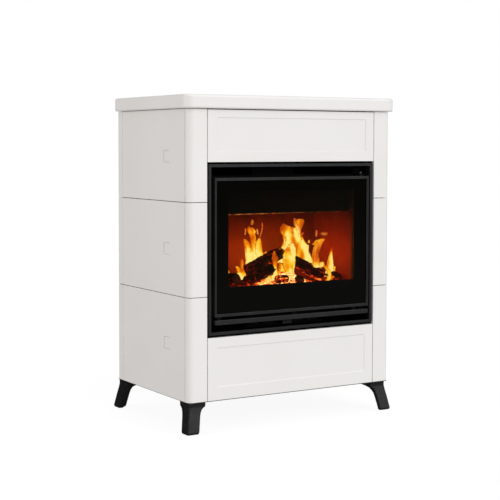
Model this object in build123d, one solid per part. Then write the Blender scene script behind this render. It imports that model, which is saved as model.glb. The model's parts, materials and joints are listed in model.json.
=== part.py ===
from build123d import *
import math
import os

os.makedirs("parts", exist_ok=True)

# ---------------------------------------------------------------- driving dimensions (mm)
# X is the width, -Y is the front (glass side), +Z is up, Z = 0 is the floor.
# The lay-out below is written about the middle of the tile depth; Y_SHIFT moves every piece
# so that the origin ends in the middle of the overall footprint.
W = 810.0                 # width over the tiles
D = 522.0                 # depth over the tiles
XO = W / 2                # outer face of the side tiles
YF = -D / 2               # front face of the tiles
YB = D / 2                # rear edge of the tiles
LEG = 101.0               # underside of the base plate above the floor
Z0 = 104.0                # lower edge of the tiles
Z1 = 446.0                # joint between lower and middle row
Z2 = 755.0                # joint between middle and upper row
Z3 = 1057.5               # upper edge of the corner and side tiles
SLAB_Z0 = 1059.0          # underside of the top slab
SLAB_Z1 = 1104.0          # top of the top slab
SLAB_OV = 13.0            # slab overhang at the front
SLAB_BACK = YB + 11.0     # rear edge of the slab
TT = 14.0                 # tile thickness
JT = 2.0                  # open joint between tiles
R_CORNER = 20.0           # vertical rounding of the front corners
R_SLAB = 28.0             # vertical rounding of the slab's corners, nearly parallel to the tiles'
SLAB_SIDE = 15.0          # slab overhang at the sides
CORNER_FRONT = 70.0       # width of a front corner tile seen from the front
CORNER_SIDE = 26.0        # depth of a front corner tile seen from the side
REAR_SIDE = 35.0          # depth of a rear corner tile seen from the side
PANEL_X = 333.7           # half width of the two front panels
OPEN_Z0 = 310.8           # lower edge of the insert opening
OPEN_Z1 = 885.0           # upper edge of the insert opening
TRIM_X = 330.0            # half width of the insert's trim frame
TRIM_Z0 = 318.4
TRIM_Z1 = 878.4
TRIM_LIP = 10.0
DOOR_X = 310.0            # half width of the door
DOOR_Z0 = 377.9
DOOR_Z1 = 833.6
DOOR_YF = YF - 6.0        # the door stands 6 mm proud of the tiles
DOOR_YR = -240.0          # rear of the door's outer frame
HINGE_X = 288.0
HINGE_Y = -247.0
PIN_R = 4.0
PIN_CLEAR = 0.06          # radial running clearance of the hinge pins
BAR_Z0 = 352.0            # full-width handle bar
BAR_Z1 = 367.7
SEAT_Y = -221.7           # face that the door rope closes on
FB_X = 272.0              # half width inside the lining
FB_YB = 15.0              # face of the rear lining
FB_Z0 = 430.0             # hearth level
FLUE_R = 75.0             # inside radius of the flue outlet (150 mm pipe)
FLUE_T = 2.0
FLUE_Z = 967.0
FLUE_Y = -45.0            # middle of the smoke box
FBX = 86.0                # half width of the smoke box
FBY = 85.0                # half depth of the smoke box
AIR_R = 50.0              # outside radius of the air inlet (100 mm duct)
AIR_Z = 262.0
Y_SHIFT = -14.0
INTAKE_X = (-268, -180, 180, 268)   # room-air slots in the shelf and the casing floor


def bx(x0, x1, y0, y1, z0, z1):
    return Pos((x0 + x1) / 2, (y0 + y1) / 2, (z0 + z1) / 2) * Box(abs(x1 - x0), abs(y1 - y0), abs(z1 - z0))


def cyl_z(x, y, z0, z1, r):
    return Pos(x, y, (z0 + z1) / 2) * Cylinder(r, z1 - z0)


def cyl_y(x, z, y0, y1, r):
    return Pos(x, (y0 + y1) / 2, z) * Rot(90, 0, 0) * Cylinder(r, y1 - y0)


def cyl_x(y, z, x0, x1, r):
    return Pos((x0 + x1) / 2, y, z) * Rot(0, 90, 0) * Cylinder(r, x1 - x0)


def ring(xh, z0, z1, t_side, t_bot, t_top, y0, y1):
    """Rectangular ring in the XZ plane, centred on X = 0."""
    return bx(-xh, xh, y0, y1, z0, z1) - bx(-xh + t_side, xh - t_side, y0 - 1, y1 + 1, z0 + t_bot, z1 - t_top)


def poly(pts):
    return make_face(Polyline(*pts, close=True))


def mx(shape):
    return mirror(shape, about=Plane.YZ)


PARTS = {}


def put(name, *shapes):
    solids = []
    for s in shapes:
        solids += list(s.solids())
    assert solids, name
    for s in solids:
        assert s.is_valid and s.volume > 0, name
    PARTS[name] = solids


def soften(shape, edges, radius):
    """Fillet, and leave the edge as it is where the geometry refuses one."""
    try:
        out = fillet(edges, radius)
        return out if out.is_valid else shape
    except Exception:
        print("unfilleted edge")
        return shape


# ---------------------------------------------------------------- ceramic cladding
def vertical_edges_near(shape, x, y, tol=0.6):
    out = []
    for e in shape.edges().filter_by(Axis.Z):
        c = e.center()
        if abs(c.X - x) < tol and abs(c.Y - y) < tol:
            out.append(e)
    return out


def corner_tile(z0, z1):
    """L-shaped tile round the front left corner, its outer corner rounded."""
    s = extrude(Pos(0, 0, z0) * poly([
        (-XO, YF), (-XO + CORNER_FRONT - JT / 2, YF), (-XO + CORNER_FRONT - JT / 2, YF + TT),
        (-XO + TT, YF + TT), (-XO + TT, YF + CORNER_SIDE), (-XO, YF + CORNER_SIDE)]), amount=z1 - z0)
    s = fillet(vertical_edges_near(s, -XO, YF), R_CORNER)
    s = fillet(vertical_edges_near(s, -XO + TT, YF + TT), 6.0)
    outer = [e for e in s.edges()
             if (e.center().Y < YF + 0.5 or e.center().X < -XO + 0.5 or
                 (abs(e.center().Z - z0) < 0.01 or abs(e.center().Z - z1) < 0.01) and
                 e.center().X < -XO + 8 and e.center().Y < YF + 8)
             and e.geom_type in (GeomType.LINE, GeomType.CIRCLE)]
    keep = []
    for e in outer:
        b = e.bounding_box()
        upright = b.size.Z > 1
        # the seam lines of the rounded corner are smooth already
        if upright and not (abs(e.center().X - (-XO + CORNER_FRONT - JT / 2)) < 0.1 or
                            abs(e.center().Y - (YF + CORNER_SIDE)) < 0.1):
            continue
        keep.append(e)
    return soften(s, keep, 1.2)


def side_tile(z0, z1):
    """Flat tile of the left side, with a small square sunk mark."""
    y0, y1 = YF + CORNER_SIDE + JT, YB - REAR_SIDE - JT
    s = bx(-XO, -XO + TT, y0, y1, z0, z1)
    edges = [e for e in s.edges() if abs(e.center().X + XO) < 0.01]
    s = soften(s, edges, 1.2)
    zc = (z0 + z1) / 2 + (8.5 if z0 < 200 else -3)
    yc = YF + 152
    s = s - bx(-XO - 1, -XO + 1.0, yc - 20.5, yc + 20.5, zc - 20.5, zc + 20.5)
    # the sunk mark has a fine groove along its top, bottom and rear edges
    for b in (bx(-XO - 1, -XO + 3.5, yc - 18.0, yc + 20.5, zc + 18.5, zc + 20.5),
              bx(-XO - 1, -XO + 3.5, yc - 18.0, yc + 20.5, zc - 20.5, zc - 18.5),
              bx(-XO - 1, -XO + 3.5, yc + 18.3, yc + 20.5, zc - 20.5, zc + 20.5)):
        s = s - b
    return s


def rear_tile(z0, z1):
    """L-shaped tile at the rear left corner."""
    s = extrude(Pos(0, 0, z0) * poly([
        (-XO, YB - REAR_SIDE), (-XO + TT, YB - REAR_SIDE), (-XO + TT, YB - TT),
        (-XO + 40, YB - TT), (-XO + 40, YB), (-XO, YB)]), amount=z1 - z0)
    s = fillet(vertical_edges_near(s, -XO, YB), 6.0)
    s = fillet(vertical_edges_near(s, -XO + TT, YB - TT), 5.0)
    edges = [e for e in s.edges() if abs(e.center().X + XO) < 0.05 and
             (e.bounding_box().size.Z < 1 or abs(e.center().Y - (YB - REAR_SIDE)) < 0.1)]
    return soften(s, edges, 1.2)


rows = {"lower": (Z0, Z1 - JT / 2), "middle": (Z1 + JT / 2, Z2 - JT / 2), "upper": (Z2 + JT / 2, Z3)}
rear_tiles = []
for row, (za, zb) in rows.items():
    for maker, kind in ((corner_tile, "corner_tile"), (side_tile, "side_tile")):
        t = maker(za, zb)
        put(f"{kind}_left_{row}", t)
        put(f"{kind}_right_{row}", mx(t))
    t = rear_tile(za, zb)
    rear_tiles += [t, mx(t)]
put("rear_corner_tiles", *rear_tiles)


def front_panel(z0, z1, top_m, bot_m):
    """Flat front panel with a shallow sunk field."""
    s = bx(-PANEL_X, PANEL_X, YF, YF + TT, z0, z1)
    s = soften(s, [e for e in s.edges() if abs(e.center().Y - YF) < 0.01], 1.2)
    fx = PANEL_X - 33.4
    f0, f1 = z0 + bot_m, z1 - top_m
    zc = (f0 + f1) / 2
    face = Plane(origin=(0, YF, zc), x_dir=(1, 0, 0), z_dir=(0, 1, 0)) * Rectangle(2 * fx, f1 - f0)
    cutter = extrude(face, amount=1.8, taper=58)
    return s - cutter


put("front_panel_upper", front_panel(OPEN_Z1, SLAB_Z0 - 3.0, 25.0, 34.0))
put("front_panel_lower", front_panel(Z0, OPEN_Z0, 33.0, 42.5))

slab = bx(-XO - SLAB_SIDE, XO + SLAB_SIDE, YF - SLAB_OV, SLAB_BACK, SLAB_Z0, SLAB_Z1)
slab = fillet(slab.edges().filter_by(Axis.Z), R_SLAB)
top_edges = [e for e in slab.edges() if abs(e.center().Z - SLAB_Z1) < 0.01]
slab = fillet(top_edges, 8.0)
bot_edges = [e for e in slab.edges() if abs(e.center().Z - SLAB_Z0) < 0.01]
slab = fillet(bot_edges, 6.0)
# cast hollows under the slab, closed by the carcass below
for sx in (-1, 1):
    slab = slab - bx(min(sx * 15, sx * 350), max(sx * 15, sx * 350), YF + 70, YB - 60, SLAB_Z0 - 1, SLAB_Z0 + 22)
put("top_slab", slab)

# ---------------------------------------------------------------- base, feet and carcass
base = bx(-XO + 5, XO - 5, YF + 5, SLAB_BACK - 1, LEG, Z0)
for x in (-200, 200):       # two pressed stiffening channels across the depth
    base = base + (bx(x - 30, x + 30, -225, 235, Z0, Z0 + 22) - bx(x - 28, x + 28, -226, 236, Z0 - 0.01, Z0 + 20))
# bolt positions from the outer top corner of a foot
FRONT_BOLTS = ((31.5, 26), (51.5, 26), (31.5, 46))
REAR_BOLTS = ((28.5, 38), (48.5, 38), (28.5, 54))


def foot_section(a, b, z, dx, dy, r):
    """Five-sided section: outer corner at (dx, dy), sides a, the inner corner cut at b."""
    pts = [(dx, dy), (dx + a, dy), (dx + a, dy + b), (dx + b, dy + a), (dx, dy + a)]
    f = poly(pts)
    f = fillet(f.vertices(), r)
    return Pos(0, 0, z) * f


def foot(bolt_holes):
    """Cast foot drawn for the front left corner, with its outer top corner at (0, 0)."""
    top = loft([foot_section(64, 53, LEG, 0, 0, 4.5), foot_section(63.5, 52, 86, 0.2, 0.2, 4.5)], ruled=True)
    # below the flange the foot narrows in a concave curve, then runs straight and splays outwards
    lv = [(86, 63.5, 52, 0.2, 0.2), (82, 56.5, 38, -0.3, -0.4), (76, 50.5, 26.5, -1.2, -1.6), (68, 47.5, 19.5, -2.6, -3.4),
          (58, 46.0, 16, -4.6, -6.0), (44, 45.6, 14.6, -7.2, -9.4), (7, 45.4, 14.0, -13.8, -17.6)]
    neck = loft([foot_section(a, b, z, dx, dy, 4.5) for z, a, b, dx, dy in lv], ruled=True)
    sole = loft([foot_section(45.4, 14.0, 7, -13.8, -17.6, 4.5), foot_section(43.6, 13.6, 3, -13.4, -17.2, 4.5),
                 foot_section(40.0, 12.5, 0, -11.6, -15.4, 4.0)], ruled=True)
    f = top + neck + sole
    for x, y in bolt_holes:
        f = f - cyl_z(x, y, LEG - 15, LEG + 1, 3.6)
    return f


FOOT = foot(FRONT_BOLTS)
FOOT_R = foot(REAR_BOLTS)
FX, FYF, FYR = -XO + 7.2, YF + 12.7, SLAB_BACK - 2.0
FXR = FX - 1.5
feet = {
    "foot_front_left": Pos(FX, FYF, 0) * FOOT,
    "foot_front_right": mx(Pos(FX, FYF, 0) * FOOT),
    "foot_rear_left": Pos(FXR, FYR, 0) * mirror(FOOT_R, about=Plane.XZ),
    "foot_rear_right": mx(Pos(FXR, FYR, 0) * mirror(FOOT_R, about=Plane.XZ)),
}
put("feet", *feet.values())
bolt_pts = []
for sx in (-1, 1):
    for x, y in FRONT_BOLTS:
        bolt_pts.append((sx * (FX + x), FYF + y))
    for x, y in REAR_BOLTS:
        bolt_pts.append((sx * (FXR + x), FYR - y))
bolts = []
for x, y in bolt_pts:
    base = base - cyl_z(x, y, LEG - 1, Z0 + 1, 3.6)
    bolts.append(cyl_z(x, y, LEG - 14, Z0, 3.55) + extrude(Pos(x, y, Z0) * RegularPolygon(7.5, 6), amount=5))
put("foot_bolts", *bolts)
put("base_plate", base)

CX = XO - TT - 2          # outer face of the carcass sides
FL_I = 345.0              # inner edge of the front flanges


def slotted_sheet(xh, y0, y1, z0, z1):
    """Level sheet in flat strips round the four room-air slots and the square hole for the air duct."""
    out = [bx(-xh, xh, y0, -190, z0, z1), bx(-xh, xh, -90, -64, z0, z1), bx(-xh, xh, 24, y1, z0, z1),
           bx(-xh, -54, -64, 24, z0, z1), bx(54, xh, -64, 24, z0, z1)]
    edges = [-xh] + [x + d for x in INTAKE_X for d in (-25, 25)] + [xh]
    for xa, xb in zip(edges[::2], edges[1::2]):
        out.append(bx(xa, xb, -190, -90, z0, z1))
    return out


def side_frame():
    """Left half of the sheet-steel carcass: a side panel with welded flanges front and rear, and the ledge for the shelf."""
    panel = bx(-CX, -CX + 2, -245, 245, Z0, 1053)
    front = bx(-CX + 2, -FL_I, -245, -243, Z0, 1053)
    rear = bx(-CX + 2, -357, 243, 245, Z0, 1053)
    web = bx(-357, -355, 243, 261.3, Z0, 1053)
    lip = bx(-355, -330, 259.3, 261.3, Z0, 1053)                   # the back panel is screwed to it
    top = bx(-CX + 2, -360, -243, 243, 1051, 1053)
    ledge = bx(-CX + 2, -CX + 32, -214.5, 150, 314.4, 317.4)
    leg = bx(-CX + 2, -CX + 5, -214.5, 150, 285, 314.4)
    for x, z in screw_pts:
        if x < 0:
            lip = lip - cyl_y(x, z, 259, 262, 2.6)
    return [panel, front, rear, web, lip, top, ledge, leg]


screw_pts = [(x, z) for x in (-343, 343) for z in (140, 430, 720, 1020)]
sf = side_frame()
put("side_frame_left", *sf)
put("side_frame_right", *[mx(p) for p in sf])

put("insert_shelf", *slotted_sheet(CX - 6, -214.5, 150, 317.4, TRIM_Z0 + 2))

top_plate = bx(-CX, CX, -245, 245, 1053, 1056) + bx(-353, 353, 244, 261, 1053, 1056) - bx(-250, 250, -150, 170, 1052, 1057)
put("top_plate", top_plate)
put("slab_pads", *[cyl_z(sx * 372, y, 1056, SLAB_Z0, 11) for sx in (-1, 1) for y in (-215, 225)])

back = bx(-380, 380, 261.3, 263.3, 108, 1052)
for zc in (150, 165, 180, 195, 760, 775, 790, 805):          # cooling slots
    for xc in (-250, -125, 125, 250):
        slot = extrude(Plane(origin=(xc, 261, zc), x_dir=(1, 0, 0), z_dir=(0, 1, 0)) * SlotOverall(90, 6), amount=3)
        back = back - slot
back = back - cyl_y(0, FLUE_Z, 261, 264, FLUE_R + FLUE_T + 3)
back = back - cyl_y(0, AIR_Z, 261, 264, AIR_R)
screws = []
for x, z in screw_pts:
    back = back - cyl_y(x, z, 261, 264, 2.6)
    screws.append(cyl_y(x, z, 256, 263.3, 2.55) + cyl_y(x, z, 263.3, 266.3, 5.0))
put("rear_panel", back)
put("rear_panel_screws", *screws)

# clips between the tiles' backs and the carcass
clips = []
for row, (za, zb) in rows.items():
    for z in (za + 45, zb - 45):
        for y in (-218, 0, 210):
            clips.append(bx(-XO + TT, -CX, y - 12, y + 12, z - 9, z + 9))
        clips.append(bx(-384, -356, YF + TT, -245, z - 9, z + 9))
        clips.append(bx(-385, -367, 245, YB - TT, z - 9, z + 9))
put("tile_clips", *clips, *[mx(c) for c in clips])

# brackets behind the two front panels
brk = []
for z0, z1 in ((Z0 + 20, Z0 + 60), (OPEN_Z0 - 60, OPEN_Z0 - 20), (OPEN_Z1 + 25, OPEN_Z1 + 60), (1000, 1035)):
    a = bx(-365, -300, -243, -241, z0, z1) - bx(-366, -364, -244, -240, z0 - 1, z0)
    a = a + bx(-330, -300, YF + TT, -243, z0, z1)
    brk += [a, mx(a)]
put("front_panel_brackets", *brk)

# ---------------------------------------------------------------- insert: trim, casing, firebox
trim = ring(TRIM_X, TRIM_Z0, TRIM_Z1, TRIM_LIP, TRIM_LIP, TRIM_LIP, YF + 1, YF + 3)
trim = trim + ring(TRIM_X, TRIM_Z0, TRIM_Z1, 2, 2, 2, YF + 1, -215)
trim = trim + ring(TRIM_X - TRIM_LIP + 2, TRIM_Z0 + TRIM_LIP - 2, TRIM_Z1 - TRIM_LIP + 2, 2, 2, 2, YF + 1, YF + 11)
trim = soften(trim, [e for e in trim.edges() if abs(e.center().Y - (YF + 1)) < 0.01], 0.6)
put("trim_frame", trim)

cas_x, cas_z0, cas_z1, cas_yb = 328.0, TRIM_Z0 + 2, TRIM_Z1 - 2, 150.0
cas_floor = slotted_sheet(cas_x, -224, cas_yb, cas_z0, cas_z0 + 2)
cas_top = bx(-cas_x, cas_x, -224, cas_yb, cas_z1 - 2, cas_z1) - bx(-FBX - 8, FBX + 8, FLUE_Y - FBY - 8, FLUE_Y + FBY + 8, cas_z1 - 5, cas_z1 + 5)
cas_side = bx(-cas_x, -cas_x + 2, -224, cas_yb, cas_z0 + 2, cas_z1 - 2)
cas_rear = bx(-cas_x + 2, cas_x - 2, cas_yb - 2, cas_yb, cas_z0 + 2, cas_z1 - 2)
put("insert_casing", *cas_floor, cas_top, cas_side, mx(cas_side), cas_rear)

# welded firebox shell with the door's seating plate
sh_side = bx(-306, -302, SEAT_Y + 4, 48, 380, 832)
sh_rear = bx(-302, 302, 44, 48, 380, 832)
sh_floor = bx(-306, 306, SEAT_Y + 4, 48, 376, 380) - bx(-45, 45, 4, 34, 375, 381)     # air passage behind the ash pan
sh_top = bx(-306, 306, SEAT_Y + 4, 48, 832, 836) - bx(-FBX + 4, FBX - 4, FLUE_Y - FBY + 4, FLUE_Y + FBY - 4, 831, 837)
sh_front = bx(-318, 318, SEAT_Y, SEAT_Y + 4, 372, 840)
sh_front = sh_front + bx(272, 304, SEAT_Y, SEAT_Y + 4, 352, 373) + bx(272, 304, SEAT_Y, SEAT_Y + 4, 839, 860)   # hinge tabs
sh_front = sh_front - bx(-FB_X, FB_X, SEAT_Y - 1, SEAT_Y + 5, 408, 803)
# rails under the shell: two uprights each, welded to the floor, and a foot strip
rail = [bx(-240, -237, -180, 40, cas_z0 + 5, 376), bx(-213, -210, -180, 40, cas_z0 + 5, 376),
        bx(-240, -210, -180, 40, cas_z0 + 2, cas_z0 + 5)]
# supports for the hearth bricks, with the ledges that carry the grate
hs = [bx(-299, -296, SEAT_Y + 20, 44, 380, FB_Z0 - 29), bx(-175, -172, SEAT_Y + 20, 44, 380, FB_Z0 - 29),
      bx(-302, -172, SEAT_Y + 20, 44, FB_Z0 - 29, FB_Z0 - 26),
      bx(-172, -141, -165, -15, FB_Z0 - 30, FB_Z0 - 26), bx(-150.8, -146.8, -150, -30, FB_Z0 - 26, FB_Z0 - 14)]
# brackets for the two baffles
bb = [bx(-302, -296, -138, 30, 743.2, 749), bx(-302, -300.2, -138, 30, 749, 771), bx(-302, -290, -200, -62, 771, 774.8)]
extra = rail + hs + bb
put("firebox_shell", sh_side, mx(sh_side), sh_rear, sh_floor, sh_top, sh_front, *extra, *[mx(p) for p in extra])

# combustion-air box below the hearth, with its ports in the front wall
ab_floor = bx(-140, 140, -195, 40, cas_z0 + 4, cas_z0 + 6) - bx(-48, 48, -58, 18, cas_z0 + 3, cas_z0 + 7)
ab_side = bx(-140, -138, -195, 40, cas_z0 + 6, 376)
ab_rear = bx(-138, 138, 38, 40, cas_z0 + 6, 376)
ab_front = bx(-138, 138, -195, -193, cas_z0 + 6, 376)
for x in (-90, -30, 30, 90):
    ab_front = ab_front - bx(x - 12, x + 12, -196, -192, 336, 352)

slide = bx(-118, 118, -197.5, -195.3, 331.0, 357.0)
for x in (-90, -30, 30, 90):
    slide = slide - bx(x - 12, x + 12, -198, -195, 336, 352)
put("air_slide", slide)
knob = bx(-20, 20, -222, -205, 331.5, 348.5)
knob = fillet(knob.edges().filter_by(Axis.Y), 3.0)
knob = soften(knob, [e for e in knob.edges() if abs(e.center().Y + 222) < 0.01], 1.5)
knob = knob + bx(-9, 9, -205, -197.5, 333, 347)
put("air_knob", knob)
gl = bx(-155, 155, -201.5, -199.5, 353.0, 366) + bx(-155, 155, -199.5, -195, 357.3, 360)
gl2 = bx(-155, 155, -199.5, -195, 326.4, 330.7) + bx(-155, 155, -201.5, -199.5, 326.4, 333.0) - bx(-60, 60, -202, -199, 330.7, 334)
put("air_box", ab_floor, ab_side, mx(ab_side), ab_rear, ab_front, gl, gl2)

# duct from the rear inlet to the air box
du_floor = bx(-60, 60, -70, 243, 206, 208)
du_side = bx(-60, -58, -70, 243, 208, 312.9)
du_front = bx(-58, 58, -70, -68, 208, 312.9)
du_top = bx(-60, 60, -70, 243, 312.9, 314.9) - bx(-50, 50, -60, 20, 312, 316)
du_neck = bx(-52, 52, -62, 22, 314.9, 324.4) - bx(-50, 50, -60, 20, 314, 325)
du_rear = bx(-60, 60, 243, 245, 206, 314.9) - cyl_y(0, AIR_Z, 242, 246, AIR_R)
spigot = cyl_y(0, AIR_Z, 243, 300, AIR_R) - cyl_y(0, AIR_Z, 242, 301, AIR_R - 1.5)
spigot = spigot + (cyl_y(0, AIR_Z, 263.3, 265.3, AIR_R + 10) - cyl_y(0, AIR_Z, 262, 266, AIR_R - 0.5))   # cover ring
put("air_duct", du_floor, du_side, mx(du_side), du_front, du_top, du_neck, du_rear, spigot)

# ---------------------------------------------------------------- lining, grate, baffle
lin = bx(-302, -FB_X, SEAT_Y + 6, FB_YB, FB_Z0, 718) + bx(-302, -FB_X, SEAT_Y + 6, -141, 717, 769)
lin = lin - bx(-303, -268.5, -206.4, -201.6, 700, 770)            # rebate for the smoke deflector
put("lining_left", lin)
put("lining_right", mx(lin))
rear_l = bx(-302, 302, FB_YB + 0.2, 44, FB_Z0, 718)
put("lining_rear", rear_l)
hearth = bx(-302, 302, SEAT_Y + 6, 44, FB_Z0 - 26, FB_Z0 - 0.2) - bx(-151, 151, -151, -29, FB_Z0 - 27, FB_Z0 + 1)
put("hearth_bricks", hearth)
gr = bx(-150, 150, -150, -30, FB_Z0 - 14, FB_Z0 - 0.4)
for x in range(-132, 133, 24):
    gr = gr - bx(x - 5, x + 5, -138, -98, FB_Z0 - 20, FB_Z0 + 5)
    gr = gr - bx(x - 5, x + 5, -82, -42, FB_Z0 - 20, FB_Z0 + 5)
put("grate", gr)
pan = bx(-135, 135, -188, 0, 380, 398) - bx(-133.5, 133.5, -186.5, -1.5, 381.5, 399)
pan = pan + bx(-18, 18, -198, -188, 396.5, 398) + bx(-18, 18, -198, -196.5, 388, 398)   # pull lip
put("ash_pan", pan)

defl = bx(-268, 268, -206, -202, 708, 826)
defl = fillet([e for e in defl.edges().filter_by(Axis.Y) if e.center().Z < 720], 14)
defl = defl + bx(-301.5, 301.5, -206, -202, 770, 831.5)
put("smoke_deflector", defl)
put("baffle_lower", bx(-300, 300, -140, 43, 718.2, 743))
bf2 = bx(-300, 300, -201, -62, 775, 795)
put("baffle_upper", bf2)
# flue: a welded smoke box over the opening in the shell's top, with the round outlet at the rear
fy0, fy1, fz0, fz1 = FLUE_Y - FBY, FLUE_Y + FBY, 839.0, 1047.0
fb_side = bx(-FBX, -FBX + 2, fy0, fy1, fz0, fz1 - 2)
fb_front = bx(-FBX + 2, FBX - 2, fy0, fy0 + 2, fz0, fz1 - 2)
fb_rear = bx(-FBX + 2, FBX - 2, fy1 - 2, fy1, fz0, fz1 - 2) - cyl_y(0, FLUE_Z, fy1 - 3, fy1 + 1, FLUE_R - 2)
fb_top = bx(-FBX, FBX, fy0, fy1, fz1 - 2, fz1)
fb_tube = cyl_y(0, FLUE_Z, fy1, 302, FLUE_R + FLUE_T) - cyl_y(0, FLUE_Z, fy1 - 1, 303, FLUE_R)
put("flue_box", fb_side, mx(fb_side), fb_front, fb_rear, fb_top, fb_tube)
collar = bx(-FBX - 14, FBX + 14, fy0 - 14, fy1 + 6, 836, 839) - bx(-FBX + 2, FBX - 2, fy0 + 2, fy1 - 2, 835, 840)
put("flue_collar", collar)

# ---------------------------------------------------------------- door
df = ring(DOOR_X, DOOR_Z0, DOOR_Z1, 6.5, 10.0, 10.0, DOOR_YF, DOOR_YF + 3)
df = df + ring(DOOR_X, DOOR_Z0, DOOR_Z1, 3, 3, 3, DOOR_YF, DOOR_YR)
df = soften(df, [e for e in df.edges() if abs(e.center().Y - DOOR_YF) < 0.01], 0.8)
blk_t = bx(HINGE_X - 9, HINGE_X + 9, -256, -241, DOOR_Z1 - 19, DOOR_Z1 - 3)
blk_b = bx(HINGE_X - 9, HINGE_X + 9, -256, -241, DOOR_Z0 + 3, DOOR_Z0 + 19)
for z0, z1, b in ((DOOR_Z1 - 19, DOOR_Z1 + 1, blk_t), (DOOR_Z0 - 1, DOOR_Z0 + 19, blk_b)):
    df = df - cyl_z(HINGE_X, HINGE_Y, z0 - 1, z1 + 1, PIN_R)
df = df + (blk_t - cyl_z(HINGE_X, HINGE_Y, DOOR_Z1 - 30, DOOR_Z1, PIN_R))
df = df + (blk_b - cyl_z(HINGE_X, HINGE_Y, DOOR_Z0, DOOR_Z0 + 30, PIN_R))
pin_t = cyl_z(HINGE_X, HINGE_Y, DOOR_Z1 - 19, 848, PIN_R)
pin_t = soften(pin_t, [e for e in pin_t.edges() if e.center().Z > 847], 1.0)
pin_b = cyl_z(HINGE_X, HINGE_Y, 369.0, DOOR_Z0 + 19, PIN_R)
pin_b = soften(pin_b, [e for e in pin_b.edges() if e.center().Z < 370], 0.8)
put("hinge_pins", pin_t, pin_b)
ht = bx(HINGE_X - 10, HINGE_X + 10, -256, SEAT_Y, 837, 842) - cyl_z(HINGE_X, HINGE_Y, 836, 843, PIN_R + PIN_CLEAR)
ht = ht + bx(HINGE_X - 10, HINGE_X + 10, SEAT_Y - 2, SEAT_Y, 842, 858)
hb = bx(HINGE_X - 10, HINGE_X + 10, -256, SEAT_Y, 370.2, 374.6) - cyl_z(HINGE_X, HINGE_Y, 369, 376, PIN_R + PIN_CLEAR)
hb = hb + bx(HINGE_X - 10, HINGE_X + 10, SEAT_Y - 2, SEAT_Y, 355, 370.2)
put("hinge_brackets", ht, hb)

GX = DOOR_X - 3.5
GZ0, GZ1 = DOOR_Z0 + 3.5, DOOR_Z1 - 3.5
put("glass_tape", ring(GX, GZ0, GZ1, 2.8, 6.2, 6.2, DOOR_YF + 3, DOOR_YF + 4))
put("door_glass", bx(-GX, GX, DOOR_YF + 4, DOOR_YF + 9, GZ0, GZ1))
inner = ring(DOOR_X - 3.5, DOOR_Z0 + 3.5, DOOR_Z1 - 3.5, 44, 44, 44, DOOR_YR - 3, DOOR_YR)
inner = inner - bx(HINGE_X - 10, HINGE_X + 20, DOOR_YR - 4, DOOR_YR + 1, DOOR_Z1 - 24, DOOR_Z1)
inner = inner - bx(HINGE_X - 10, HINGE_X + 20, DOOR_YR - 4, DOOR_YR + 1, DOOR_Z0, DOOR_Z0 + 24)
# rope channel: two thin walls, rope seated between them
RX, RZ0, RZ1 = 280.0, 399.0, 812.0
chan = ring(RX + 7, RZ0 - 7, RZ1 + 7, 2, 2, 2, DOOR_YR, DOOR_YR + 6) + ring(RX - 5, RZ0 + 5, RZ1 - 5, 2, 2, 2, DOOR_YR, DOOR_YR + 6)
chan = chan - bx(HINGE_X - 3, HINGE_X + 3, DOOR_YR - 1, DOOR_YR + 7, RZ0 - 20, RZ1 + 20)
inner = inner + chan
put("door_inner_frame", *(inner.solids()))
rope = ring(RX + 5, RZ0 - 5, RZ1 + 5, 10, 10, 10, DOOR_YR, SEAT_Y - 0.3)
rope = soften(rope, [e for e in rope.edges() if abs(e.center().Y - (SEAT_Y - 0.3)) < 0.01], 3.0)
put("door_rope", rope)
cl = []
for z in (440, 560, 680, 780):
    for sx in (-1, 1):
        cl.append(bx(sx * 299 - 6, sx * 299 + 6, DOOR_YF + 9, DOOR_YR - 3, z - 12, z + 12))
for x in (-200, 0, 200):
    for z in (DOOR_Z0 + 9, DOOR_Z1 - 21):
        cl.append(bx(x - 20, x + 20, DOOR_YF + 9, DOOR_YR - 3, z, z + 12))
put("glass_clamps", *cl)

bar = bx(-DOOR_X, DOOR_X - 2.5, -268, -251, BAR_Z0, BAR_Z1)      # the right end is short to clear the lower hinge
bar = soften(bar, [e for e in bar.edges() if abs(e.center().Y + 268) < 0.01 or e.center().X < -DOOR_X + 0.01
                   or e.center().X > DOOR_X - 2.51], 1.5)
for x in (-292, 0, 250):
    bar = bar + bx(x - 9, x + 9, -263, -252, BAR_Z1 - 1, DOOR_Z0)
put("handle_bar", bar)

put("door_frame", df)

# friction catch on the free (left) side: a tongue on the door enters a spring clip on the seat
put("latch_tongue", bx(-300, -296, DOOR_YR, SEAT_Y - 3, 585, 615) + bx(-304, -290, DOOR_YR, DOOR_YR + 2, 578, 622))
clip = bx(-305, -291, SEAT_Y - 1.5, SEAT_Y, 580, 620)
clip = clip + bx(-302.4, -300.9, SEAT_Y - 14, SEAT_Y, 583, 617) + bx(-295.1, -293.6, SEAT_Y - 14, SEAT_Y, 583, 617)
clip = clip + bx(-304.2, -302.4, SEAT_Y - 14, SEAT_Y - 12.5, 583, 617) + bx(-293.6, -291.8, SEAT_Y - 14, SEAT_Y - 12.5, 583, 617)
put("latch_clip", clip)

# ---------------------------------------------------------------- fuel
def log(p0, p1, r, n=9, wob=0.10, seed=1, twist=10):
    """One split or round log: an uneven many-sided prism between two points."""
    a, b = Vector(*p0), Vector(*p1)
    d = (b - a)
    pts = []
    for i in range(n):
        k = 1 + wob * math.sin(i * 2.3 + seed * 1.7) + 0.5 * wob * math.cos(i * 4.1 + seed)
        t = 2 * math.pi * i / n + math.radians(twist)
        pts.append((r * k * math.cos(t), r * k * math.sin(t)))
    pl = Plane(origin=a, z_dir=d.normalized())
    return extrude(pl * poly(pts), amount=d.length)


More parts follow.
